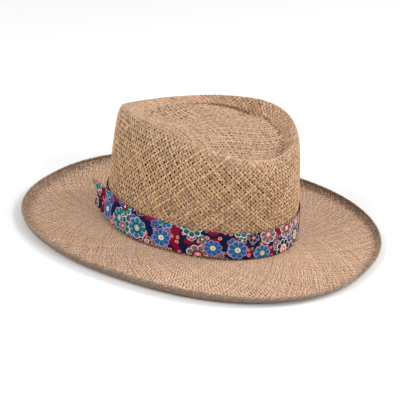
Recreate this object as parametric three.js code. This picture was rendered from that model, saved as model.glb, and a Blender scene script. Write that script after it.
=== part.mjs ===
// A wide-brimmed straw hat: a teardrop crown pressed in on top round a low dome, a flat brim with
// its edge turned up, and a cloth hatband whose swallow-tailed end flares off the crown.
// Millimetres, +Z up. The front of the hat is towards -Y and the wearer's left towards +X.
// The origin is on the table, under the middle of the brim. Angles run round the hat from its front
// towards the wearer's left.
import * as THREE from 'three';

// Straw and cloth
const crownWall = 2;
const brimWall = 2.4;
const bandCloth = 1.2;
const seamGap = 0.3;
const mattRoughness = 0.85;

// Crown where it meets the brim, measured outside, and the brim's height above the table there
const headLength = 202;
const headWidth = 165;
const breakFront = 3.1;
const breakSide = 6.2;
const breakBack = 5.1;

// Crest of the crown: how far it stands in from the head size, and its height above the brim
const crestInFront = 4.6;
const crestInSide = 6.6;
const crestInBack = 16.6;
const crestMiddle = 10.1;
const crestPoint = 0.95;
const crestTipRound = 0.06;
const crownHeightFront = 104;
const crownHeightSide = 112.6;
const crownHeightBack = 93.3;
const shoulderSwell = 5;
const wallBow = 1.2;

// Groove pressed in behind the crest, fading out towards the front, and the dome that it leaves
// standing in the middle
const grooveInFront = 33;
const grooveInSide = 11.5;
const grooveInBack = 11.5;
const groovePoint = 0.3;
const grooveDepthFront = 0.5;
const grooveDepthSide = 15.5;
const grooveDepthBack = 12.5;
const grooveFade = 0.8;
const domeHeight = 108.5;

// Round dent in the front of the dome, and how far ahead of the crown's middle it is
const dentDepth = 6;
const dentAhead = 52;
const dentReach = 30;

// Brim: from the crown to the foot of the turned-up edge, and that edge
const brimFront = 73.6;
const brimSide = 66.4;
const brimBack = 73.2;
const brimSquareness = 0.88;
const sideLift = 1.4;
const restStrip = 14;
const restHalfAngle = 16;
const edgeFlareFront = 6.2;
const edgeFlareSide = 3.3;
const edgeFlareBack = 6.6;
const edgeRiseFront = 7;
const edgeRiseSide = 6.9;
const edgeRiseBack = 4.4;
const edgeLean = 70;

// Hatband: its start is folded over its end and over the tail
const bandHeight = 28;
const bandStart = 61;
const bandOverlap = 13;
const bandSettle = 20;
const tailLeaves = 46;
const tailFree = 38;
const tailFlare = 5;
const tailLift = 3;
const tailLean = 4.5;
const tailNotch = 9;

// How finely the surfaces are divided, in steps round the hat, in degrees along the band and as
// shares of the tail's free length
const roundSteps = 88;
const bandStep = 4.5;
const tailRows = [0, 0.33, 0.66, 1];

// Turn in radians over which a loop's direction is measured
const smallTurn = 0.004;

// Rows up the wall, as shares of the way from the brim to the crest
const wallRows = [0, 0.13, 0.27, 0.5, 0.72, 0.87, 0.95, 0.988, 1];

// Rows over the top: shares of the way from the crest to the groove, then from the groove to the
// middle of the dome
const slopeRows = [0.2, 0.45, 0.72, 1];
const domeRows = [0.15, 0.32, 0.52, 0.76];

// Rows across the flat of the brim: shares of the way out to the strip it rests on, and of the fall
const flatRows = [
  { out: 0.3, fall: 0.42 },
  { out: 0.65, fall: 0.8 },
];

// Rows up the turned-up edge: shares of its flare, its rise and its lean
const edgeRows = [
  { flare: 0.42, rise: 0.13, lean: 0.45 },
  { flare: 0.78, rise: 0.46, lean: 0.82 },
  { flare: 1, rise: 1, lean: 1 },
];

const radians = THREE.MathUtils.degToRad;
const mix = THREE.MathUtils.lerp;
const smooth = THREE.MathUtils.smoothstep;

// A size that differs at the front, the sides and the back, at an angle in radians. The lower the
// fade, the further the sizes at the front and the back reach towards the sides.
function around(angle, front, side, back, fade = 2) {
  const along = Math.cos(angle);
  const end = along > 0 ? front : back;
  return side + (end - side) * Math.abs(along) ** fade;
}

// An oval or teardrop seen from above, round (0, middle). point is 0 for an oval and draws the
// front in as it grows, and tipRound keeps the front tip from being sharp.
function plan(angle, { front, back, halfWidth, middle = 0, point = 0, tipRound = 0 }) {
  const side = Math.sin(angle);
  const along = Math.cos(angle);
  const narrowing = (half) => (half + tipRound) ** (point / 2);
  const turn = 1 + point - 2 * tipRound;
  const widest = (turn + Math.sqrt(turn * turn + 4 * (2 + point) * tipRound)) / (2 * (2 + point));
  const widestSide = 2 * Math.sqrt(widest * (1 - widest)) * narrowing(widest);
  const length = along > 0 ? front + middle : back - middle;
  return new THREE.Vector3(
    (halfWidth * side * narrowing((1 - along) / 2)) / widestSide,
    middle - length * along,
    0,
  );
}

const headHalf = { front: headLength / 2, back: headLength / 2, halfWidth: headWidth / 2 };
const crestHalf = {
  front: headHalf.front - crestInFront,
  back: headHalf.back - crestInBack,
  halfWidth: headHalf.halfWidth - crestInSide,
  middle: crestMiddle,
  point: crestPoint,
  tipRound: crestTipRound,
};
const grooveHalf = {
  front: crestHalf.front - grooveInFront,
  back: crestHalf.back - grooveInBack,
  halfWidth: crestHalf.halfWidth - grooveInSide,
  middle: crestMiddle,
  point: groovePoint,
};

// Where the crown meets the brim's upper face
function headLoop(angle) {
  const spot = plan(angle, headHalf);
  spot.z = around(angle, breakFront, breakSide, breakBack);
  return spot;
}

function crestLoop(angle) {
  const spot = plan(angle, crestHalf);
  const height = around(angle, crownHeightFront, crownHeightSide, crownHeightBack);
  spot.z = around(angle, breakFront, breakSide, breakBack) + height;
  return spot;
}

function grooveLoop(angle) {
  const spot = plan(angle, grooveHalf);
  const depth = around(angle, grooveDepthFront, grooveDepthSide, grooveDepthBack, grooveFade);
  spot.z = crestLoop(angle).z - depth;
  return spot;
}

// Level direction that points out of a loop, where the loop is a function of the angle
function outward(loop, angle) {
  const along = loop(angle + smallTurn).sub(loop(angle - smallTurn));
  return new THREE.Vector3(along.y, -along.x, 0).normalize();
}

// The crown's outer face, with rise from 0 at the brim to 1 on the crest
function wallSpot(angle, rise) {
  const level = (turn) => headLoop(turn).lerp(crestLoop(turn), rise);
  const bow = wallBow * 4 * rise * (1 - rise);
  const swell = shoulderSwell * rise * Math.sqrt(1 - rise ** 8);
  return level(angle).addScaledVector(outward(level, angle), bow + swell);
}

// From the crest down into the groove, with share from 0 to 1
function slopeSpot(angle, share) {
  const crest = crestLoop(angle);
  const groove = grooveLoop(angle);
  const spot = crest.clone().lerp(groove, share);
  spot.z = mix(crest.z, groove.z, smooth(share, 0, 1));
  return spot;
}

// From the groove up to the middle of the dome, with share from 0 to 1
function domeSpot(angle, share) {
  const groove = grooveLoop(angle);
  const spot = groove.clone().lerp(domeTop(), share);
  const away = Math.hypot(spot.x, spot.y - (crestMiddle - dentAhead));
  const dent = dentDepth * (1 - smooth(away, 0, dentReach));
  spot.z = mix(groove.z, domeHeight, smooth(share, 0, 1)) - dent;
  return spot;
}

function domeTop() {
  return new THREE.Vector3(0, crestMiddle, domeHeight);
}

const angles = Array.from({ length: roundSteps }, (_, step) => (2 * Math.PI * step) / roundSteps);
const ring = (spotAt) => angles.map(spotAt);

// A copy of a stack of rings, moved to its inner side by a wall's thickness
function insideOf(rings, wall) {
  return rings.map((row, level) =>
    row.map((spot, step) => {
      const before = rings[Math.max(level - 1, 0)][step];
      const after = rings[Math.min(level + 1, rings.length - 1)][step];
      const back = row[(step + row.length - 1) % row.length];
      const ahead = row[(step + 1) % row.length];
      const up = after.clone().sub(before);
      const normal = ahead.clone().sub(back).cross(up).normalize();
      return spot.clone().addScaledVector(normal, -wall);
    }),
  );
}

// A closed mesh through rings of points that all have as many points. The first and last rings
// are single points, or are joined to each other, or are closed by ladders across a strip.
function skin(name, rings, colour, ends) {
  const spots = [];
  const faces = [];
  const numbers = rings.map((row) => row.map((spot) => spots.push(spot) - 1));
  const quad = (a, b, c, d) => faces.push(a, b, c, a, c, d);
  const strip = (low, high) => {
    const count = Math.max(low.length, high.length);
    for (let step = 0; step < count; step += 1) {
      const next = (step + 1) % count;
      if (low.length === 1) faces.push(low[0], high[next], high[step]);
      else if (high.length === 1) faces.push(low[step], low[next], high[0]);
      else quad(low[step], low[next], high[next], high[step]);
    }
  };
  const ladder = (row, flip) => {
    for (let rung = 0; rung + 1 < row.length / 2; rung += 1) {
      const [a, b] = [row[rung], row[rung + 1]];
      const [c, d] = [row[row.length - 2 - rung], row[row.length - 1 - rung]];
      if (flip) quad(a, b, c, d);
      else quad(d, c, b, a);
    }
  };
  for (let level = 0; level + 1 < rings.length; level += 1) strip(numbers[level], numbers[level + 1]);
  if (ends === 'joined') strip(numbers[rings.length - 1], numbers[0]);
  if (ends === 'ladders') {
    ladder(numbers[0], false);
    ladder(numbers[rings.length - 1], true);
  }
  const geometry = new THREE.BufferGeometry();
  geometry.setFromPoints(spots);
  geometry.setIndex(outwards(spots, faces));
  geometry.computeVertexNormals();
  const material = new THREE.MeshStandardMaterial({ color: colour, roughness: mattRoughness });
  const mesh = new THREE.Mesh(geometry, material);
  mesh.name = name;
  return mesh;
}

// The faces, turned over together if they enclose a negative volume
function outwards(spots, faces) {
  let volume = 0;
  for (let face = 0; face < faces.length; face += 3) {
    const [a, b, c] = faces.slice(face, face + 3).map((number) => spots[number]);
    volume += a.dot(b.clone().cross(c));
  }
  return volume < 0 ? faces.slice().reverse() : faces;
}

// The crown, hollow and open below, down to the brim's lower face
function makeCrown(colour) {
  const foot = ring((angle) => headLoop(angle).setZ(headLoop(angle).z - brimWall));
  const outer = [
    foot,
    ...wallRows.map((rise) => ring((angle) => wallSpot(angle, rise))),
    ...slopeRows.map((share) => ring((angle) => slopeSpot(angle, share))),
    ...domeRows.map((share) => ring((angle) => domeSpot(angle, share))),
  ];
  const inner = insideOf(outer, crownWall);
  const top = domeTop();
  const under = domeTop().setZ(domeHeight - crownWall);
  return skin('crown', [[top], ...outer.toReversed(), ...inner, [under]], colour, 'points');
}

// Foot of the brim's turned-up edge, on the upper face
function brimLoop(angle) {
  const side = Math.sin(angle);
  const along = Math.cos(angle);
  const length = headLength / 2 + (along > 0 ? brimFront : brimBack);
  return new THREE.Vector3(
    (headWidth / 2 + brimSide) * Math.sign(side) * Math.abs(side) ** brimSquareness,
    -length * Math.sign(along) * Math.abs(along) ** brimSquareness,
    brimWall + sideLift * smooth(Math.abs(side), Math.sin(radians(restHalfAngle)), 1),
  );
}

function makeBrim(colour) {
  const restLoop = (angle) => brimLoop(angle).addScaledVector(outward(brimLoop, angle), -restStrip);
  const seat = (angle) => headLoop(angle).addScaledVector(outward(headLoop, angle), seamGap);
  const flat = (angle, { out, fall }) => {
    const from = seat(angle);
    const to = restLoop(angle);
    return from.clone().lerp(to, out).setZ(mix(from.z, to.z, fall));
  };
  const edge = (angle, { flare, rise }) => {
    const spot = brimLoop(angle);
    const out = flare * around(angle, edgeFlareFront, edgeFlareSide, edgeFlareBack);
    spot.addScaledVector(outward(brimLoop, angle), out);
    spot.z += rise * around(angle, edgeRiseFront, edgeRiseSide, edgeRiseBack);
    return spot;
  };
  const rows = [
    { spotAt: seat, lean: 0 },
    ...flatRows.map((row) => ({ spotAt: (angle) => flat(angle, row), lean: 0 })),
    { spotAt: restLoop, lean: 0 },
    { spotAt: brimLoop, lean: 0 },
    ...edgeRows.map((row) => ({ spotAt: (angle) => edge(angle, row), lean: row.lean })),
  ];
  const upper = rows.map((row) => ring(row.spotAt));
  const lower = rows.map(({ spotAt, lean }) =>
    ring((angle) => {
      const turned = radians(edgeLean * lean);
      return spotAt(angle)
        .addScaledVector(outward(brimLoop, angle), brimWall * Math.sin(turned))
        .add(new THREE.Vector3(0, 0, -brimWall * Math.cos(turned)));
    }),
  );
  return skin('brim', [...upper, ...lower.toReversed()], colour, 'joined');
}

// A place on the crown's wall at a height above the brim, moved out by a distance
function onWall(angle, height, out) {
  const rise = height / around(angle, crownHeightFront, crownHeightSide, crownHeightBack);
  const level = (turn) => wallSpot(turn, rise);
  return level(angle).addScaledVector(outward(level, angle), out);
}

// Heights of a cloth strip's lower edge, middle and upper edge above the brim
const clothHeights = [seamGap, seamGap + bandHeight / 2, seamGap + bandHeight];
const layer = bandCloth + seamGap;

// A section of a cloth strip: up its outer face and down its inner face
function clothSection(spotAt) {
  const outer = clothHeights.map((height) => spotAt(height, bandCloth));
  const inner = clothHeights.map((height) => spotAt(height, 0));
  return [...outer, ...inner.toReversed()];
}

// The band runs once round the crown and on under its own start
function makeHatband(colour) {
  const sections = [];
  const total = 360 + bandOverlap;
  const count = Math.round(total / bandStep);
  for (let step = 0; step <= count; step += 1) {
    const turned = (total * step) / count;
    const angle = radians(bandStart + turned);
    const stacked = 1 - smooth(turned, bandOverlap, bandOverlap + bandSettle);
    const out = seamGap + 2 * layer * stacked;
    sections.push(clothSection((height, cloth) => onWall(angle, height, out + cloth)));
  }
  return skin('hatband', sections, colour, 'ladders');
}

// The free end: from under the band's start towards the front, then straight off the crown
function makeTail(colour) {
  const sections = [];
  const out = seamGap + layer;
  const held = bandStart + bandOverlap - tailLeaves;
  const heldSteps = Math.round(held / bandStep);
  for (let step = 0; step < heldSteps; step += 1) {
    const angle = radians(bandStart + bandOverlap - (held * step) / heldSteps);
    sections.push(clothSection((height, cloth) => onWall(angle, height, out + cloth)));
  }
  const leaves = radians(tailLeaves);
  const off = outward(headLoop, leaves);
  const ahead = new THREE.Vector3(off.y, -off.x, 0);
  for (const share of tailRows) {
    const free = (height, cloth) => {
      const middle = height === clothHeights[1];
      const far = share * (tailFree - (middle ? tailNotch : 0));
      const lean = tailLean * (height / clothHeights[2]) * share;
      const aside = far * Math.tan(radians(tailFlare)) * share + lean;
      return onWall(leaves, height, out + cloth)
        .addScaledVector(ahead, far)
        .addScaledVector(off, aside)
        .add(new THREE.Vector3(0, 0, tailLift * share * share));
    };
    sections.push(clothSection(free));
  }
  return skin('hatband_tail', sections, colour, 'ladders');
}

const hat = new THREE.Group();
const strawColour = 0xbc9970;
const printColour = 0x2f3554;
hat.add(makeCrown(strawColour), makeBrim(strawColour), makeHatband(printColour), makeTail(printColour));

export default hat;
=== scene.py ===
"""The looks of a wide-brimmed straw hat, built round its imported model.

The crown is an open plain weave of twisted straw, the brim a close weave with its edge turned up
and finished by a twisted cord, and the hatband is printed cotton with one loose end. Metres, +Z up,
the front of the hat towards -Y. Angles run round the hat from its front to the wearer's left.
"""
import math

import bmesh
import bpy
import numpy as np
from mathutils import Matrix, Vector
from mathutils.bvhtree import BVHTree


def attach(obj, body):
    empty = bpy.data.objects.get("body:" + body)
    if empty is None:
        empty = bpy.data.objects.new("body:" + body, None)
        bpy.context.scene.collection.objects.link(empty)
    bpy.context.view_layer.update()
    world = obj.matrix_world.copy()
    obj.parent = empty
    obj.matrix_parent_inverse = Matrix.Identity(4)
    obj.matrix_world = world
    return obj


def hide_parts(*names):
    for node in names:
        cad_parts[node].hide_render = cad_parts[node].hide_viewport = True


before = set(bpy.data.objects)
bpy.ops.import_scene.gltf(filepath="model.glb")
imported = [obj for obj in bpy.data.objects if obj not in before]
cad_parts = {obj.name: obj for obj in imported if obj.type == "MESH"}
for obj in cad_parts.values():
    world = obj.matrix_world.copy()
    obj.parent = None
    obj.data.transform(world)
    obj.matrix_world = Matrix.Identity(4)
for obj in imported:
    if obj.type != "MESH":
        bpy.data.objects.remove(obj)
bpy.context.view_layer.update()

# Walls and cloth
crown_wall = 0.002
brim_wall = 0.0024
band_cloth = 0.0012
seam_gap = 0.0003

# Crown where it meets the brim, and the brim's height there
head_length = 0.202
head_width = 0.165
break_heights = (0.0031, 0.0062, 0.0051)

# Crest of the crown: stand-in from the head size and height above the brim, front, side and back
crest_in = (0.0046, 0.0066, 0.0166)
crest_middle = 0.0101
crest_point = 0.95
crest_tip_round = 0.06
crown_heights = (0.104, 0.1126, 0.0933)
shoulder_swell = 0.005
shoulder_power = 8
wall_bow = 0.0012

# Groove behind the crest, the dome inside it and the dent in the front of the dome
groove_in = (0.033, 0.0115, 0.0115)
groove_point = 0.3
groove_depths = (0.0005, 0.0155, 0.0125)
groove_fade = 0.8
dome_height = 0.1085
dent_depth = 0.006
dent_ahead = 0.052
dent_reach = 0.03

# Brim, from the crown to the foot of its turned-up edge, and that edge: front, side and back
brim_widths = (0.0736, 0.0664, 0.0732)
brim_squareness = 0.88
side_lift = 0.0014
rest_half_angle = 16
resting_share = 0.81
fall_power = 1.6
edge_flares = (0.0062, 0.0033, 0.0066)
edge_rises = (0.007, 0.0069, 0.0044)
edge_straightness = 0.35

# Hatband and its loose end
band_height = 0.028
band_start = 61
band_overlap = 13
band_settle = 20
tail_leaves = 46
tail_free = 0.038
tail_flare = 5
tail_lift = 0.003
tail_lean = 0.0045
tail_notch = 0.009


def mixed(first, second, share):
    return first + (second - first) * share


def smooth(value, low, high):
    share = np.clip((value - low) / (high - low), 0, 1)
    return share * share * (3 - 2 * share)


def around(angle, front, side, back, fade=2.0):
    """A size that differs at the front, the sides and the back of the hat."""
    along = np.cos(angle)
    return side + (np.where(along > 0, front, back) - side) * np.abs(along) ** fade


def plan(angle, front, back, half_width, middle=0.0, point=0.0, tip_round=0.0):
    """An oval or a teardrop seen from above: point narrows its front and tip_round blunts the tip."""
    along = np.cos(angle)
    turn = 1 + point - 2 * tip_round
    widest = (turn + math.sqrt(turn**2 + 4 * (2 + point) * tip_round)) / (2 * (2 + point))
    widest_side = 2 * math.sqrt(widest * (1 - widest)) * (widest + tip_round) ** (point / 2)
    narrowing = ((1 - along) / 2 + tip_round) ** (point / 2)
    length = np.where(along > 0, front + middle, back - middle)
    x = half_width * np.sin(angle) * narrowing / widest_side
    return np.stack([x, middle - length * along, np.zeros_like(x)], -1)


def head_loop(angle):
    spot = plan(angle, head_length / 2, head_length / 2, head_width / 2)
    spot[..., 2] = around(angle, *break_heights)
    return spot


crest_front = head_length / 2 - crest_in[0]
crest_half_width = head_width / 2 - crest_in[1]
crest_back = head_length / 2 - crest_in[2]


def crest_loop(angle):
    spot = plan(angle, crest_front, crest_back, crest_half_width, crest_middle, crest_point, crest_tip_round)
    spot[..., 2] = around(angle, *break_heights) + around(angle, *crown_heights)
    return spot


def groove_loop(angle):
    front = crest_front - groove_in[0]
    half_width = crest_half_width - groove_in[1]
    back = crest_back - groove_in[2]
    spot = plan(angle, front, back, half_width, crest_middle, groove_point)
    spot[..., 2] = crest_loop(angle)[..., 2] - around(angle, *groove_depths, groove_fade)
    return spot


def outward(loop, angle):
    """The level direction that points out of a loop."""
    step = 0.004
    along = loop(angle + step) - loop(angle - step)
    out = np.stack([along[..., 1], -along[..., 0], np.zeros_like(angle)], -1)
    return out / np.linalg.norm(out, axis=-1, keepdims=True)


def wall_spot(angle, rise):
    """The crown's outer face: rise is 0 at the brim and 1 on the crest."""
    share = rise[..., None]

    def level(turn):
        return mixed(head_loop(turn), crest_loop(turn), share)

    shoulder = shoulder_swell * rise * np.sqrt(1 - np.abs(rise) ** shoulder_power)
    swell = shoulder + wall_bow * 4 * rise * (1 - rise)
    return level(angle) + outward(level, angle) * swell[..., None]


def top_spot(angle, way):
    """The top of the crown: way is 0 on the crest, 1 in the groove and 2 on top of the dome."""
    crest, groove = crest_loop(angle), groove_loop(angle)
    down = np.clip(way, 0, 1)
    up = np.clip(way - 1, 0, 1)
    slope = mixed(crest, groove, down[..., None])
    slope[..., 2] = mixed(crest[..., 2], groove[..., 2], smooth(down, 0, 1))
    dome = mixed(groove, np.array([0, crest_middle, dome_height]), up[..., None])
    away = np.hypot(dome[..., 0], dome[..., 1] - (crest_middle - dent_ahead))
    dent = dent_depth * (1 - smooth(away, 0, dent_reach))
    dome[..., 2] = mixed(groove[..., 2], dome_height, smooth(up, 0, 1)) - dent
    return np.where(way[..., None] < 1, slope, dome)


def crown_spot(angle, way):
    """The whole outside of the crown: way is 0 at the brim, 1 on the crest and 3 on the dome."""
    wall = wall_spot(angle, np.minimum(way, 1))
    return np.where(way[..., None] < 1, wall, top_spot(angle, np.maximum(way - 1, 0)))


def brim_loop(angle):
    """The foot of the brim's turned-up edge."""
    side, along = np.sin(angle), np.cos(angle)
    length = head_length / 2 + np.where(along > 0, brim_widths[0], brim_widths[2])
    lift = side_lift * smooth(np.abs(side), math.sin(math.radians(rest_half_angle)), 1)
    return np.stack(
        [
            (head_width / 2 + brim_widths[1]) * np.sign(side) * np.abs(side) ** brim_squareness,
            -length * np.sign(along) * np.abs(along) ** brim_squareness,
            brim_wall + lift,
        ],
        -1,
    )


def brim_spot(angle, way):
    """The brim's upper face: way is 0 at the crown, 1 at the foot of the edge and 2 at its top."""
    seat, foot = head_loop(angle), brim_loop(angle)
    flat_share = np.clip(way, 0, 1)
    spot = mixed(seat, foot, flat_share[..., None])
    fall = 1 - (1 - np.clip(flat_share / resting_share, 0, 1)) ** fall_power
    spot[..., 2] = mixed(seat[..., 2], foot[..., 2], fall)
    up = np.clip(way - 1, 0, 1)
    flare = np.sin(up * math.pi / 2) * around(angle, *edge_flares)
    curl = 1 - np.cos(up * math.pi / 2)
    spot += outward(brim_loop, angle) * flare[..., None]
    spot[..., 2] += mixed(curl, up, edge_straightness) * around(angle, *edge_rises)
    return spot


def unit(vectors):
    return vectors / np.maximum(np.linalg.norm(vectors, axis=-1, keepdims=True), 1e-12)


def facing(surface, angle, way):
    """The direction that points out of a surface."""
    step = 0.003
    round_hat = surface(angle + step, way) - surface(angle - step, way)
    up = surface(angle, way + step) - surface(angle, way - step)
    return unit(np.cross(round_hat, up))


def brim_facing(angle, way):
    """The direction that points up out of the brim."""
    out = facing(brim_spot, angle, way)
    return out * np.sign(out[:, 2:3] + 1e-9)


def even_angles(loop):
    """A function from a share of the way round a loop to the angle there."""
    angle = np.linspace(0, 2 * math.pi, 1441)
    steps = np.linalg.norm(np.diff(loop(angle), axis=0), axis=-1)
    shares = np.concatenate([[0], np.cumsum(steps)]) / steps.sum()

    def angle_at(share):
        turns = np.floor(share)
        return np.interp(share - turns, shares, angle) + turns * 2 * math.pi

    return angle_at, steps.sum()


def distances(surface, angle, ways):
    """The distance over a surface at each of some ways, at one angle."""
    spots = surface(np.full_like(ways, angle), ways)
    return np.concatenate([[0], np.cumsum(np.linalg.norm(np.diff(spots, axis=0), axis=-1))])


def from_bmesh(name, bm):
    mesh = bpy.data.meshes.new(name)
    bm.to_mesh(mesh)
    bm.free()
    piece = bpy.data.objects.new(name, mesh)
    bpy.context.scene.collection.objects.link(piece)
    return piece


def settled(piece):
    """Puts the result of a piece's modifiers into its mesh."""
    shown = piece.evaluated_get(bpy.context.evaluated_depsgraph_get())
    mesh = bpy.data.meshes.new_from_object(shown)
    piece.modifiers.clear()
    piece.data = mesh
    return piece


def corners(piece):
    """The corners of a piece's mesh as rows of numbers."""
    spots = np.empty(len(piece.data.vertices) * 3, np.float32)
    piece.data.vertices.foreach_get("co", spots)
    return spots.reshape(-1, 3).astype(float)


def move_corners(piece, spots):
    piece.data.vertices.foreach_set("co", spots.astype(np.float32).ravel())
    piece.data.update()


def shade_smooth(piece):
    piece.data.polygons.foreach_set("use_smooth", np.ones(len(piece.data.polygons), bool))


def face_outwards(piece, seam=0.0):
    """Turns a piece's faces outwards, after it joins corners that lie within a seam's width."""
    bm = bmesh.new()
    bm.from_mesh(piece.data)
    if seam:
        bmesh.ops.remove_doubles(bm, verts=bm.verts, dist=seam)
    bmesh.ops.recalc_face_normals(bm, faces=bm.faces)
    bm.to_mesh(piece.data)
    bm.free()


def keep(piece, name, *parts):
    """Keeps a vector for each corner of a piece, for its material to read."""
    kept = piece.data.attributes.new(name, "FLOAT_VECTOR", "POINT")
    kept.data.foreach_set("vector", np.stack(parts, -1).astype(np.float32).ravel())


def at(size, *where):
    """A size that is a number or changes from place to place."""
    return size(*where) if callable(size) else size


# How far apart straight strands of radius 1 stand before they are laid
strand_spacing = 4.0


def straight_strands(name, count, steps, sides):
    """Straight strands side by side, each a closed tube of radius 1 and length 1 along Z."""
    bm = bmesh.new()
    bmesh.ops.create_cone(bm, cap_ends=True, segments=sides, radius1=1, radius2=1, depth=1)
    long_edges = [edge for edge in bm.edges if abs(edge.verts[0].co.z - edge.verts[1].co.z) > 0.5]
    bmesh.ops.subdivide_edges(bm, edges=long_edges, cuts=steps - 1, use_grid_fill=True)
    piece = from_bmesh(name, bm)
    array = piece.modifiers.new("strands", "ARRAY")
    array.count = count
    array.use_relative_offset = False
    array.use_constant_offset = True
    array.constant_offset_displace = (strand_spacing, 0, 0)
    return settled(piece)


def lay_strands(piece, line, width, thickness, length):
    """Bends straight strands onto their lines.

    line gives, for the strands' numbers and the share along each, the spots on the woven surface,
    the direction that faces out there, how far the strand's middle stands out from it, and the way
    over the hat. width and thickness are numbers or change with the same two, and length is a
    number or changes with the strand's number.
    """
    flat = corners(piece)
    number = np.round(flat[:, 0] / strand_spacing)
    share = flat[:, 2] + 0.5
    sideways, outwards = flat[:, 0] - number * strand_spacing, flat[:, 1]
    step = 0.002
    surface, out, lift, way = line(number, share)
    ahead_surface, ahead_out, ahead_lift, _ = line(number, share + step)
    behind_surface, behind_out, behind_lift, _ = line(number, share - step)
    ahead = ahead_surface + ahead_out * ahead_lift[:, None]
    behind = behind_surface + behind_out * behind_lift[:, None]
    along = unit(ahead - behind)
    side = unit(np.cross(along, out))
    across = np.cross(side, along)
    aside = sideways * at(width, number, share) / 2
    stand = outwards * at(thickness, number, share) / 2
    move_corners(piece, surface + out * lift[:, None] + side * aside[:, None] + across * stand[:, None])
    # How far out each corner is in millimetres, for the painted shade between strands, and where on the hat,
    # for the change of tone over it
    keep(piece, "stand", (lift + stand) * 1000, way, np.zeros_like(way))
    # Where each corner is on its strand, for the grain: metres along, share round and number
    turn = np.abs(np.arctan2(outwards, sideways)) / (2 * math.pi)
    keep(piece, "grain", share * at(length, number), turn, number)
    shade_smooth(piece)
    face_outwards(piece)
    return piece


# One seeded source for every random draw
chance = np.random.default_rng(7)


class Uneven:
    """A smooth random number of about -1 to 1 along each strand, another one for each strand.

    It is the sum of three waves, which turn between slowest and quickest times along the strand.
    """

    def __init__(self, count, slowest, quickest):
        self.speeds = chance.uniform(slowest, quickest, (count, 3))
        self.starts = chance.uniform(0, 2 * math.pi, (count, 3))

    def __call__(self, number, share):
        which = number.astype(int)
        turns = self.speeds[which] * share[:, None] * 2 * math.pi + self.starts[which]
        return np.sin(turns).sum(-1) / 1.8


class HandLaid:
    """How the strands of one family differ, as hand-laid straw does.

    Each strand lies aside by its own drift and bends aside by up to its wander along the way, and
    is as stout as its mean and spread say, with slubs that swell and thin it.
    """

    def __init__(self, count, drift, wander, bends, stoutness, slubs, swells):
        self.drift = chance.normal(0, drift, count)
        self.stoutness = chance.normal(*stoutness, count)
        self.bends = Uneven(count, *bends)
        self.swells = Uneven(count, *swells)
        self.wander = wander
        self.slubs = slubs

    def aside(self, number, share):
        return self.drift[number.astype(int)] + self.wander * self.bends(number, share)

    def stout(self, number, share):
        return self.stoutness[number.astype(int)] + self.slubs * self.swells(number, share)


# Straw of the crown: how many strands lean each way, and one strand's size
crown_strands = 116
straw_width = 0.00223
straw_thickness = 0.00128
straw_relief = 0.0005

# Where the wall's strands start, how far they run on over the crest, and how their ends tuck under
wall_starts = -0.0018
over_the_crest = 0.018
tuck_depth = 0.0011
tuck_length = 0.006
tuck_end = 0.001

# Near the crest the straw is pressed flatter and wider: by what share, and from how far below
crest_press = (0.3, 0.012)
crest_widening = (0.12, 0.02)


def crown_wall_weave():
    """Two families of strands that climb the wall on a slant, over and under each other."""
    angle_at, girth = even_angles(lambda angle: wall_spot(angle, np.full_like(angle, 0.5)))
    up_the_wall = np.linspace(0, 1, 400) ** 0.7
    ways = np.concatenate([up_the_wall, np.linspace(1, 2, 120)[1:]])
    climbed = distances(crown_spot, math.pi / 2, ways)
    on_crest = climbed[len(up_the_wall) - 1]
    low, high = wall_starts, on_crest + over_the_crest
    crossing = girth / (2 * crown_strands)
    crossings = round((high - low) / crossing)

    def near_crest(climb, share, below):
        return share * smooth(climb, on_crest - below, on_crest)

    made = []
    for lean, name in ((1, "crown_straw_left"), (-1, "crown_straw_right")):
        straws = HandLaid(
            crown_strands,
            drift=0.07,
            wander=0.09,
            bends=(1, 5),
            stoutness=(1, 0.1),
            slubs=0.15,
            swells=(4, 22),
        )

        def line(number, share):
            climb = low + share * (high - low)
            turn = (number + straws.aside(number, share)) / crown_strands + lean * climb / girth
            angle = angle_at(turn)
            way = np.interp(climb, climbed, ways) + np.minimum(climb, 0) / on_crest
            out = facing(crown_spot, angle, way)
            relief = straw_relief * (1 - near_crest(climb, *crest_press))
            lift = lean * relief * np.cos(math.pi * (climb - low) / crossing)
            lift -= tuck_depth * smooth(climb, high - tuck_length, high - tuck_end)
            return crown_spot(angle, way) - out * (crown_wall / 2), out, lift, way

        def width(number, share):
            climb = low + share * (high - low)
            return straw_width * straws.stout(number, share) * (1 + near_crest(climb, *crest_widening))

        piece = straight_strands(name, crown_strands, crossings * 2, 6)
        made.append(lay_strands(piece, line, width, straw_thickness, (high - low) * math.sqrt(2)))
    return made


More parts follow.
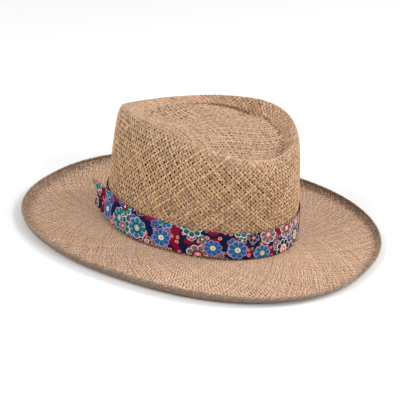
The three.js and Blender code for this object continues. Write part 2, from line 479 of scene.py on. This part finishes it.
class Top:
    """The top of the crown as a surface that a weave can be dropped onto from above."""

    def __init__(self):
        ways = np.concatenate([[0.94, 0.97, 0.985, 0.995], np.linspace(1, 3, 90)])
        bm = bmesh.new()
        bmesh.ops.create_grid(bm, x_segments=360, y_segments=len(ways) - 1, size=0.5)
        flat = np.array([vert.co for vert in bm.verts]) + 0.5
        way = np.interp(flat[:, 1], np.linspace(0, 1, len(ways)), ways)
        for vert, spot in zip(bm.verts, crown_spot(flat[:, 0] * 2 * math.pi, way)):
            vert.co = spot
        bm.verts.index_update()
        bm.faces.index_update()
        self.tree = BVHTree.FromBMesh(bm)
        self.ways = [min(way[vert.index] for vert in face.verts) for face in bm.faces]
        bm.free()

    def height(self, x, y):
        """The height of the top at some places, and its way there."""
        heights = np.full(len(x), np.nan)
        ways = np.ones(len(x))
        for index, (across, ahead) in enumerate(zip(x, y)):
            spot, _, face, _ = self.tree.ray_cast(Vector((across, ahead, 1)), Vector((0, 0, -1)))
            if spot:
                heights[index] = spot.z
                ways[index] = self.ways[face]
        return heights, ways

    def under(self, level):
        """The spots on the top under some places, the direction out of it there, and its ways."""
        apart, place = np.unique(np.round(level, 7), axis=0, return_inverse=True)
        place = place.ravel()
        x, y = apart.T
        step = 0.0006
        height, way = self.height(x, y)
        slope_x = self.height(x + step, y)[0] - self.height(x - step, y)[0]
        slope_y = self.height(x, y + step)[0] - self.height(x, y - step)[0]
        slope = np.nan_to_num(np.stack([slope_x, slope_y], -1) / (2 * step))
        height = np.where(np.isnan(height), crest_loop(np.zeros(1))[0, 2], height)
        out = unit(np.concatenate([-slope, np.ones((len(apart), 1))], -1))
        spots = np.concatenate([apart, height[:, None]], -1)
        return spots[place], out[place], way[place]


# Straw of the crown's top, and how far down the slope inside the crest its strands start: front,
# side and back
top_weave_starts = (0.04, 0.55, 0.5)
top_pitch = 0.0034
top_turn = 62
top_straw_width = 0.0025
top_straw_thickness = 0.0011
top_relief = 0.00034


def strand_spans(rim, ahead, across):
    """The place of the first strand inside a rim, and where each one starts and stops."""
    offsets = rim @ across
    first = math.ceil(offsets.min() / top_pitch + 0.4)
    last = math.floor(offsets.max() / top_pitch - 0.4)
    spans = []
    for place in range(first, last + 1):
        before = offsets[:-1] - place * top_pitch
        after = offsets[1:] - place * top_pitch
        crossed = (before * after <= 0) & (before != after)
        share = before[crossed] / (before[crossed] - after[crossed])
        ends = mixed(rim[:-1][crossed], rim[1:][crossed], share[:, None]) @ ahead
        spans.append((ends.min(), ends.max()))
    return first, np.array(spans)


def top_weave():
    """Two families of strands laid square to each other over the top, inside the crest."""
    top = Top()
    rim_angles = np.linspace(0, 2 * math.pi, 721)
    rim = top_spot(rim_angles, around(rim_angles, *top_weave_starts))[:, :2]
    made = []
    for lean, name in ((1, "top_straw_left"), (-1, "top_straw_right")):
        heading = math.radians(top_turn + (90 if lean < 0 else 0))
        ahead = np.array([math.cos(heading), math.sin(heading)])
        across = np.array([-ahead[1], ahead[0]])
        first, spans = strand_spans(rim, ahead, across)
        straws = HandLaid(
            len(spans),
            drift=0.00025,
            wander=0.00035,
            bends=(1, 6),
            stoutness=(1, 0.08),
            slubs=0.12,
            swells=(6, 30),
        )

        def line(number, share):
            starts, stops = spans[number.astype(int)].T
            reach = mixed(starts, stops, share)
            aside = (number + first) * top_pitch + straws.aside(number, share)
            spot, out, way = top.under(ahead * reach[:, None] + across * aside[:, None])
            lift = lean * top_relief * np.cos(math.pi * (number + first + reach / top_pitch))
            from_end = np.minimum(reach - starts, stops - reach)
            lift -= tuck_depth * (1 - smooth(from_end, tuck_end, tuck_length))
            return spot - out * (crown_wall / 2), out, lift, way

        def width(number, share):
            return top_straw_width * straws.stout(number, share)

        def length(number):
            return np.diff(spans[number.astype(int)], axis=-1)[:, 0]

        steps = int(2.5 * np.diff(spans, axis=-1).max() / top_pitch)
        piece = straight_strands(name, len(spans), steps, 6)
        made.append(lay_strands(piece, line, width, top_straw_thickness, length))
    return made


# Straw of the brim, how far below the edge's top its strands end, and the sheet between them
brim_strands = 330
brim_relief = 0.00034
brim_straw_thickness = 0.00084
strands_end_below = 0.0011
backing_thickness = 0.0005
backing_ends = 1.98


def brim_weave():
    """Two families of strands that spiral out across the brim and up its turned-up edge."""
    angle_at, _ = even_angles(lambda angle: brim_spot(angle, np.full_like(angle, 0.5)))
    _, girth = even_angles(head_loop)
    ways = np.linspace(0, 2, 500)
    crossed = distances(brim_spot, math.pi / 2, ways)
    start = girth / (2 * math.pi)
    turns = math.log(1 + (crossed[-1] - strands_end_below) / start)
    crossings = round(turns * 2 * brim_strands / (2 * math.pi))

    def reach(share):
        """How far out a strand is, which keeps its slant the same all the way."""
        return start * (np.exp(turns * share) - 1)

    made = []
    for lean, name in ((1, "brim_straw_left"), (-1, "brim_straw_right")):
        straws = HandLaid(
            brim_strands,
            drift=0.1,
            wander=0.19,
            bends=(1, 9),
            stoutness=(0.89, 0.1),
            slubs=0.2,
            swells=(8, 40),
        )

        def line(number, share):
            way = np.interp(reach(np.clip(share, 0, 1)), crossed, ways)
            turn = (number + straws.aside(number, share)) / brim_strands
            angle = angle_at(turn + lean * turns * share / (2 * math.pi))
            out = brim_facing(angle, way)
            lift = lean * brim_relief * np.cos(math.pi * crossings * share)
            return brim_spot(angle, way) - out * (brim_wall / 2), out, lift, way

        def width(number, share):
            pitch = (start + reach(share)) * 2 * math.pi / brim_strands / math.sqrt(2)
            return pitch * straws.stout(number, share)

        piece = straight_strands(name, brim_strands, crossings, 4)
        made.append(lay_strands(piece, line, width, brim_straw_thickness, crossed[-1] * math.sqrt(2)))
    return made


def flat_cloth(name, columns, rows):
    """A flat grid with X and Y from 0 to 1 and the same numbers as its UV map."""
    bm = bmesh.new()
    bm.loops.layers.uv.new("cloth")
    bmesh.ops.create_grid(bm, x_segments=columns, y_segments=rows, size=0.5, calc_uvs=True)
    bmesh.ops.translate(bm, verts=bm.verts, vec=(0.5, 0.5, 0))
    return from_bmesh(name, bm)


def thicken(piece, thickness, offset=0, soft_edges=0):
    """Gives a sheet its thickness and smooth shading, and soft edges in so many steps."""
    solidify = piece.modifiers.new("thickness", "SOLIDIFY")
    solidify.thickness = thickness
    solidify.offset = offset
    if soft_edges:
        soften = piece.modifiers.new("soften", "SUBSURF")
        soften.levels = soften.render_levels = soft_edges
    settled(piece)
    shade_smooth(piece)


def brim_backing():
    """A thin sheet between the brim's strands that closes the brim; its dark colour is painted shade seen in
    the gaps.
    """
    piece = flat_cloth("brim_backing", 240, 24)
    flat = corners(piece)
    angle, way = flat[:, 0] * 2 * math.pi, flat[:, 1] * backing_ends
    out = brim_facing(angle, np.clip(way, 0.004, 1.99))
    move_corners(piece, brim_spot(angle, way) - out * (brim_wall / 2))
    face_outwards(piece, seam=1e-6)
    thicken(piece, backing_thickness)
    return piece


# Cord that finishes the brim's edge, and how far out of and below the edge's top it runs
cord_aside = 0.2 * brim_wall
cord_drop = 0.0009
cord_strands = 3
cord_strand_size = 0.0015
cord_twist = 0.0098
cord_radius = 0.00055


def edge_cord():
    """A twisted cord sewn along the top of the turned-up edge."""
    angle_at, girth = even_angles(lambda angle: brim_spot(angle, np.full_like(angle, 2.0)))
    twists = round(girth / cord_twist)
    steps_in_a_twist = 9
    piece = straight_strands("edge_cord", cord_strands, twists * steps_in_a_twist, 6)
    swelling = Uneven(cord_strands, 20, 160)
    upwards = np.array([0, 0, 1.0])

    def line(number, share):
        angle = angle_at(share)
        edge = np.full_like(share, 2.0)
        aside = outward(brim_loop, angle)
        middle = brim_spot(angle, edge) + aside * cord_aside - upwards * cord_drop
        turn = 2 * math.pi * (share * twists + number / cord_strands)
        out = aside * np.cos(turn)[:, None] + upwards * np.sin(turn)[:, None]
        return middle, out, np.full_like(share, cord_radius), edge

    def size(number, share):
        return cord_strand_size * (1 + 0.14 * swelling(number, share))

    return lay_strands(piece, line, size, size, girth)


# The band rides a little higher round its loose end: how much, round which angle, and how it fades
# with the cosine of the angle from there
band_ride = 0.0014
band_ride_angle = 82
band_ride_fade = (0.55, 0.85)


def on_wall(angle, height, out):
    """A place on the crown's wall at a height above the brim, moved out by a distance."""
    from_ride = np.cos(angle - math.radians(band_ride_angle))
    rise = (height + band_ride * smooth(from_ride, *band_ride_fade)) / around(angle, *crown_heights)

    def level(turn):
        return wall_spot(turn, rise)

    return level(angle) + outward(level, angle) * out[:, None]


# The looks show thinner cloth than the solids, so its layers lie closer together
cotton = 0.0005
layer = 0.0007
strip_low = seam_gap

# How far slack cloth stands off in waves: the band, its end on the wall, and its free end
band_waves = 0.00018
tail_waves = 0.0001
tail_flutter = 0.0012


def cloth_waves(along, up):
    """How far slack cloth stands off as a share of 1, more at its upper edge, by slow and quick waves."""
    slow = np.sin(along * 61) * np.sin(along * 23 + 1.3)
    quick = np.sin(along * 170 + up * 90 + 0.7) * 0.4
    return (slow + quick) * (0.35 + 0.65 * up / band_height)


def hatband():
    """The band, once round the crown and over its own end, and its flat length."""
    piece = flat_cloth("hatband_cloth", 300, 7)
    flat = corners(piece)
    turned = flat[:, 0] * (360 + band_overlap)
    angle = np.radians(band_start + turned)
    height = strip_low + flat[:, 1] * band_height
    stacked = 1 - smooth(turned, band_overlap, band_overlap + band_settle)
    waves = cloth_waves(flat[:, 0] * even_angles(head_loop)[1], flat[:, 1] * band_height)
    out = seam_gap + 2 * layer * stacked + band_cloth + band_waves * (waves + 1)
    move_corners(piece, on_wall(angle, height, out))
    thicken(piece, cotton, -1, 1)
    once = np.radians(np.linspace(0, 360, 721))
    middle = on_wall(once, np.full_like(once, band_height / 2), np.full_like(once, 0.001))
    around_once = np.linalg.norm(np.diff(middle, axis=0), axis=-1).sum()
    return piece, around_once * (360 + band_overlap) / 360


def hatband_tail():
    """The band's loose end, held on the wall and then free with its swallow-tail, and its length."""
    piece = flat_cloth("tail_cloth", 46, 8)
    flat = corners(piece)
    held = band_start + band_overlap - tail_leaves
    leaves = np.radians(tail_leaves)
    span = np.radians(held) * (head_length + head_width) / 4
    length = span + tail_free
    edge = np.abs(flat[:, 1] - 0.5) * 2
    reach = flat[:, 0] * (length - tail_notch * (1 - edge) * smooth(flat[:, 0], 0.5, 1))
    along_wall = np.minimum(reach / span, 1)
    free = np.maximum(reach - span, 0)
    share = free / tail_free
    angle = np.radians(band_start + band_overlap - held * along_wall)
    height = strip_low + flat[:, 1] * band_height
    waves = cloth_waves(reach + 0.2, height)
    out = seam_gap + layer + band_cloth + tail_waves * waves * (1 - share)
    spots = on_wall(angle, height, out)
    # The free end goes straight ahead from where it leaves the wall, flares, leans out and lifts
    off = outward(head_loop, np.array([leaves]))[0]
    ahead = np.array([off[1], -off[0], 0])
    flare = free * math.tan(math.radians(tail_flare))
    flutter = tail_flutter * np.sin(free * 150 + flat[:, 1] * 2)
    aside = (flare + tail_lean * flat[:, 1] + flutter) * share
    spots += ahead * free[:, None] + off * aside[:, None]
    spots[:, 2] += tail_lift * share**2
    move_corners(piece, spots)
    thicken(piece, cotton, -1, 1)
    return piece, length


class Value:
    """A number, colour or vector that a shader node gives, for use in Python expressions."""

    def __init__(self, finish, socket):
        self.finish = finish
        self.socket = socket

    def __add__(self, other):
        return self.finish.math("ADD", self, other)

    def __sub__(self, other):
        return self.finish.math("SUBTRACT", self, other)

    def __mul__(self, other):
        return self.finish.math("MULTIPLY", self, other)

    def __truediv__(self, other):
        return self.finish.math("DIVIDE", self, other)

    def __rsub__(self, other):
        return self.finish.math("SUBTRACT", other, self)

    __radd__ = __add__
    __rmul__ = __mul__


class Finish:
    """One material of the hat and the nodes that it is made of."""

    def __init__(self, name, roughness, sheen=0.0, specular=0.3):
        self.material = bpy.data.materials.new(name)
        self.material.use_nodes = True
        self.tree = self.material.node_tree
        self.shader = self.tree.nodes["Principled BSDF"]
        self.shader.inputs["Roughness"].default_value = roughness
        self.shader.inputs["Sheen Weight"].default_value = sheen
        self.shader.inputs["Specular IOR Level"].default_value = specular

    def node(self, kind, settings=None, inputs=None, output=0):
        """Makes a node: its settings first, then the values or links of its sockets."""
        made = self.tree.nodes.new(kind)
        for setting, value in (settings or {}).items():
            if setting == "stops":
                while len(made.color_ramp.elements) < len(value):
                    made.color_ramp.elements.new(1)
                for stop, (place, colour) in zip(made.color_ramp.elements, value):
                    stop.position = place
                    stop.color = (*colour, 1)
            else:
                setattr(made, setting, value)
        for place, value in (inputs or {}).items():
            self.join(value, made.inputs[place])
        return Value(self, made.outputs[output])

    def join(self, value, socket):
        if isinstance(value, Value):
            self.tree.links.new(value.socket, socket)
        elif isinstance(value, tuple) and socket.type == "RGBA":
            socket.default_value = (*value, 1)
        else:
            socket.default_value = value

    def math(self, operation, *values):
        return self.node("ShaderNodeMath", {"operation": operation}, dict(enumerate(values)))

    def between(self, value, low, high):
        """0 where value is under low, 1 where it is over high and smooth between them."""
        settings = {"interpolation_type": "SMOOTHSTEP"}
        return self.node("ShaderNodeMapRange", settings, {"Value": value, "From Min": low, "From Max": high})

    def mix(self, share, first, second):
        """One colour over another."""
        inputs = {"Factor": share, 6: first, 7: second}
        return self.node("ShaderNodeMix", {"data_type": "RGBA"}, inputs, 2)

    def parts(self, vector, count):
        """The first numbers of a vector."""
        split = self.node("ShaderNodeSeparateXYZ", None, {0: vector})
        return [Value(self, split.socket.node.outputs[place]) for place in range(count)]

    def vector(self, operation, *values, output=0):
        return self.node("ShaderNodeVectorMath", {"operation": operation}, dict(enumerate(values)), output)

    def noise(self, vector, scale, detail=2.0, roughness=0.5):
        inputs = {"Vector": vector, "Scale": scale, "Detail": detail, "Roughness": roughness}
        return self.node("ShaderNodeTexNoise", None, inputs)

    def choose(self, pick, colours):
        """One of some colours, by a lot from 0 to 1."""
        stops = [(index / len(colours), colour) for index, colour in enumerate(colours)]
        return self.node("ShaderNodeValToRGB", {"stops": stops}, {"Fac": pick})

    def colour(self, value):
        self.join(value, self.shader.inputs["Base Color"])

    def bump(self, height, distance, strength=1.0):
        inputs = {"Height": height, "Distance": distance, "Strength": strength}
        self.join(self.node("ShaderNodeBump", None, inputs), self.shader.inputs["Normal"])

    def on(self, *pieces):
        for piece in pieces:
            piece.data.materials.clear()
            piece.data.materials.append(self.material)


# Colour of the rosy patches, as linear values
rosy = (0.7, 0.4, 0.285)


def straw(name, first, second, change, low, high, back, flush):
    """Twisted dry straw, with a tone of its own for each strand and grain along it.

    first and second are its pale, deep and dark colours before and after a change, which is from
    where to where over the hat. low and high are how far out, in millimetres, the painted shade
    between strands leaves the straw as dark and as pale as it gets, back is how much of that painted
    shade is taken off again on its other side, and flush how strong the rosy patches are.
    """
    finish = Finish(name, 0.62, 0.15)
    grain = finish.node("ShaderNodeAttribute", {"attribute_name": "grain"}, None, "Vector")
    along, turn, number = finish.parts(grain, 3)
    stand = finish.node("ShaderNodeAttribute", {"attribute_name": "stand"}, None, "Vector")
    lift, way = finish.parts(stand, 2)
    changed = finish.between(way, *change)
    pale, deep, dark = (finish.mix(changed, one, other) for one, other in zip(first, second))
    # Pale and deep lengths of straw, another for each strand
    own = finish.node("ShaderNodeTexWhiteNoise", {"noise_dimensions": "1D"}, {"W": number}, "Value")
    place = finish.node("ShaderNodeCombineXYZ", None, {0: along, 1: turn * 0.004, 2: number * 0.37})
    patches = finish.noise(place, 260, 3)
    base = finish.mix(finish.between(patches * 0.76 + own * 0.24, 0.34, 0.66), deep, pale)
    # Rosy patches over the hat
    on_hat = finish.node("ShaderNodeTexCoord", None, None, "Object")
    base = finish.mix(finish.between(finish.noise(on_hat, 34, 2), 0.45, 0.65) * flush, base, rosy)
    # Worn lengths, the dark lines of the twist, and the shade between strands
    worn = finish.between(finish.noise(place, 60, 2), 0.56, 0.74)
    base = finish.mix(worn * 0.55, base, dark)
    twist = finish.node("ShaderNodeCombineXYZ", None, {0: along * 260 + turn * 9, 1: turn * 14, 2: number})
    streaks = finish.noise(twist, 1.0, 2)
    base = finish.mix(finish.between(streaks, 0.52, 0.72) * 0.4, base, dark)
    # Painted shade between strands: the farther in the straw lies, the darker it is, and it is paler again
    # on its inner side
    sunk_painted_shade = 1 - finish.between(lift, low, high)
    sunk_painted_shade = sunk_painted_shade * (1 - finish.between(0 - lift, 0.3, 0.8) * back)
    finish.colour(finish.mix(sunk_painted_shade * 0.85, base, dark))
    finish.bump(streaks, 0.0003, 0.8)
    return finish


def backing_painted_shade():
    """Painted shade seen in the gaps between the brim's strands, as dark straw on the sheet there."""
    finish = Finish("straw_backing_painted_shade", 0.8)
    place = finish.node("ShaderNodeTexCoord", None, None, "Object")
    finish.colour(finish.mix(finish.noise(place, 500, 2), (0.15, 0.085, 0.045), (0.32, 0.2, 0.115)))
    finish.bump(finish.noise(place, 700, 2), 0.0003, 0.6)
    return finish


# Colours of the print, as linear values
navy = (0.008, 0.011, 0.045)
ink = (0.004, 0.005, 0.012)
crimson = (0.23, 0.006, 0.025)
teal = (0.02, 0.2, 0.16)
cobalt = (0.02, 0.1, 0.42)
coral = (0.85, 0.16, 0.08)
cream = (0.93, 0.82, 0.71)
rose = (0.72, 0.3, 0.34)
lilac = (0.42, 0.3, 0.52)
taupe = (0.2, 0.14, 0.1)
chalk = (0.84, 0.82, 0.9)


def blossoms(finish, place, ground, palette, size, petals, reach, seed, share):
    """A layer of small round flowers scattered over a ground.

    palette holds the colours of their edge, body, ring and heart. size is the width of the square
    that each flower has to itself, petals half the lobes of its outline, reach its radius as a
    share of that square, and share how many of the squares hold one.
    """
    moved = finish.vector("ADD", place, (seed * 0.37, seed * 0.73, 0))
    cells = finish.node(
        "ShaderNodeTexVoronoi",
        {"voronoi_dimensions": "2D", "feature": "F1"},
        {"Vector": moved, "Scale": 1 / size, "Randomness": 0.62},
        "Position",
    )
    pick, turn, swell = finish.parts(Value(finish, cells.socket.node.outputs["Color"]), 3)
    edge, body, ring, heart = (finish.choose(pick, row) for row in palette)
    # How far out a place is in its flower, round and as its lobes go
    offset = finish.vector("SUBTRACT", moved, cells)
    x, y = finish.parts(offset, 2)
    angle = finish.math("ARCTAN2", y, x)
    lobes = finish.math("ABSOLUTE", finish.math("COSINE", angle * petals + turn * 6.28))
    radius = (swell * 0.35 + 0.72) * (reach * size)
    inner = finish.vector("LENGTH", offset, output="Value") / radius
    depth = inner / (lobes * 0.2 + 0.86)
    colour = finish.mix(finish.between(depth, 0.89, 0.93), body, edge)
    if petals > 1:
        colour = finish.mix((1 - finish.between(lobes, 0.1, 0.24)) * 0.75, colour, edge)
    for low, high, tint in ((0.46, 0.5, ring), (0.28, 0.32, heart), (0.1, 0.13, edge)):
        colour = finish.mix(1 - finish.between(inner, low, high), colour, tint)
    flower = 1 - finish.between(depth, 0.97, 1.0)
    flower = flower * finish.between(swell, 0.99 - share, 1 - share)
    return finish.mix(flower, ground, colour)


def printed_cotton(name, length):
    """Matt cotton with a dense scatter of round flowers and dots on a dark ground."""
    finish = Finish(name, 0.9, specular=0.08)
    uv = finish.node("ShaderNodeUVMap", {"uv_map": "cloth"})
    place = finish.vector("MULTIPLY", uv, (length, band_height, 0))
    patch = finish.noise(place, 55, 1)
    ground = finish.mix(finish.between(patch, 0.53, 0.55), navy, crimson)
    dot_colours = (
        (coral, crimson, chalk, teal, coral),
        (coral, cobalt, crimson, teal, rose),
        (crimson, cream, navy, coral, coral),
        (cream, ink, rose, coral, crimson),
    )
    small = {"size": 0.0056, "petals": 1, "reach": 0.36, "seed": 1, "share": 0.6}
    dots = blossoms(finish, place, ground, dot_colours, **small)
    middle_colours = (
        (chalk, lilac, cream, chalk, lilac),
        (crimson, navy, teal, taupe, cobalt),
        (cream, crimson, ink, coral, navy),
        (crimson, coral, cream, ink, teal),
    )
    medium = {"size": 0.0125, "petals": 2.5, "reach": 0.42, "seed": 2, "share": 0.8}
    middles = blossoms(finish, place, dots, middle_colours, **medium)
    large_colours = (
        (chalk, lilac, chalk, cream, chalk),
        (teal, cobalt, teal, ink, taupe),
        (navy, teal, ink, cream, crimson),
        (teal, cream, crimson, coral, rose),
    )
    large = {"size": 0.024, "petals": 4, "reach": 0.42, "seed": 5, "share": 0.9}
    finish.colour(blossoms(finish, place, middles, large_colours, **large))
    threads = []
    for direction in ("X", "Y"):
        settings = {"wave_type": "BANDS", "bands_direction": direction}
        threads.append(finish.node("ShaderNodeTexWave", settings, {"Vector": place, "Scale": 420.0}))
    finish.bump(threads[0] * threads[1], 0.00012, 0.5)
    return finish


# Studio, with each lamp's place, width and power
floor_radius = 6
sky_strength = 0.55
lamps = (
    ("right", (0.7, 2.2, 1.5), 1.0, 22),
    ("front_left", (1.8, -1.2, 1.6), 1.4, 30),
    ("back_right", (-1.2, 1.6, 2.0), 1.4, 35),
)
lamps_aim_at = (0, 0, 0.05)


def studio():
    """A plain pale floor and soft light from above and all round."""
    bm = bmesh.new()
    bmesh.ops.create_circle(bm, cap_ends=True, segments=96, radius=floor_radius)
    floor = from_bmesh("floor", bm)
    paper = Finish("floor_paper", 0.9)
    paper.colour((0.93, 0.93, 0.93))
    paper.on(floor)
    world = bpy.data.worlds.new("studio")
    world.use_nodes = True
    sky = world.node_tree.nodes["Background"]
    sky.inputs["Color"].default_value = (1, 1, 1, 1)
    sky.inputs["Strength"].default_value = sky_strength
    bpy.context.scene.world = world
    for name, spot, size, power in lamps:
        lamp = bpy.data.lights.new(name, "AREA")
        lamp.shape = "DISK"
        lamp.size = size
        lamp.energy = power
        holder = bpy.data.objects.new(name, lamp)
        holder.location = spot
        holder.rotation_euler = (Vector(lamps_aim_at) - Vector(spot)).to_track_quat("-Z", "Y").to_euler()
        bpy.context.scene.collection.objects.link(holder)


# Camera: the photograph's viewing angle, worked out from the hat's outline
view_azimuth = 117.14
view_elevation = 23.38
view_roll = 4.18
view_distance = 1.138
view_focal_pixels = 1138
frame_pixels = 400
aimed_at = (0, 0, 0.0412)
aim_lands_at = (202.6, 186.65)


def camera():
    azimuth, elevation = math.radians(view_azimuth), math.radians(view_elevation)
    level = math.cos(elevation)
    back = Vector((math.sin(azimuth) * level, -math.cos(azimuth) * level, math.sin(elevation)))
    right = Vector((math.cos(azimuth), math.sin(azimuth), 0))
    up = back.cross(right)
    sensor = bpy.data.cameras.new("camera")
    sensor.sensor_width = 36
    sensor.lens = sensor.sensor_width * view_focal_pixels / frame_pixels
    sensor.shift_x = (frame_pixels / 2 - aim_lands_at[0]) / frame_pixels
    sensor.shift_y = (aim_lands_at[1] - frame_pixels / 2) / frame_pixels
    eye = bpy.data.objects.new("camera", sensor)
    turned = Matrix((right, up, back)).transposed() @ Matrix.Rotation(math.radians(view_roll), 3, "Z")
    eye.matrix_world = Matrix.Translation(Vector(aimed_at) + back * view_distance) @ turned.to_4x4()
    bpy.context.scene.collection.objects.link(eye)
    bpy.context.scene.camera = eye


camera()
studio()
bpy.context.scene.view_settings.view_transform = "Standard"

crown_pieces = crown_wall_weave() + top_weave()
brim_pieces = brim_weave()
backing = brim_backing()
cord = edge_cord()
band, band_length = hatband()
tail, tail_length = hatband_tail()

# Pale, deep and dark tones of the straw, as linear values
wall_tones = ((0.74, 0.47, 0.26), (0.38, 0.21, 0.098), (0.055, 0.022, 0.007))
top_tones = ((0.69, 0.445, 0.295), (0.44, 0.265, 0.152), (0.1, 0.048, 0.022))
brim_tones = ((0.88, 0.59, 0.415), (0.61, 0.39, 0.255), (0.26, 0.153, 0.09))
# The turned-up edge's tones are darker than the brim's: painted shade on the edge
rim_painted_shade_tones = ((0.7, 0.51, 0.39), (0.38, 0.26, 0.185), (0.09, 0.058, 0.038))
cord_tones = ((0.5, 0.35, 0.25), (0.26, 0.17, 0.115), (0.06, 0.036, 0.022))
crown_straw = straw(
    "crown_straw", wall_tones, top_tones, change=(0.7, 1.1), low=-0.45, high=0.5, back=0.5, flush=0.08
)
# The brim's straw turns to the darker rim tones up its turned-up edge, which is painted shade there
brim_straw = straw(
    "brim_straw", brim_tones, rim_painted_shade_tones, change=(0.93, 1.25), low=-0.3, high=0.4, back=0.7, flush=0.25
)
# Painted shade where the cord's strands press together: the inner half of each strand is darkest
edge_straw = straw(
    "edge_straw", cord_tones, cord_tones, change=(0, 1), low=0.55, high=1.2, back=0, flush=0
)
crown_straw.on(*crown_pieces)
brim_straw.on(*brim_pieces)
edge_straw.on(cord)
backing_painted_shade().on(backing)
printed_cotton("band_cotton", band_length).on(band)
printed_cotton("tail_cotton", tail_length).on(tail)

for piece in crown_pieces:
    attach(piece, "root")
    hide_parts("crown")
for piece in [*brim_pieces, backing, cord]:
    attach(piece, "root")
    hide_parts("brim")
for piece, node, length in ((band, "hatband", band_length), (tail, "hatband_tail", tail_length)):
    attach(piece, "root")
    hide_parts(node)
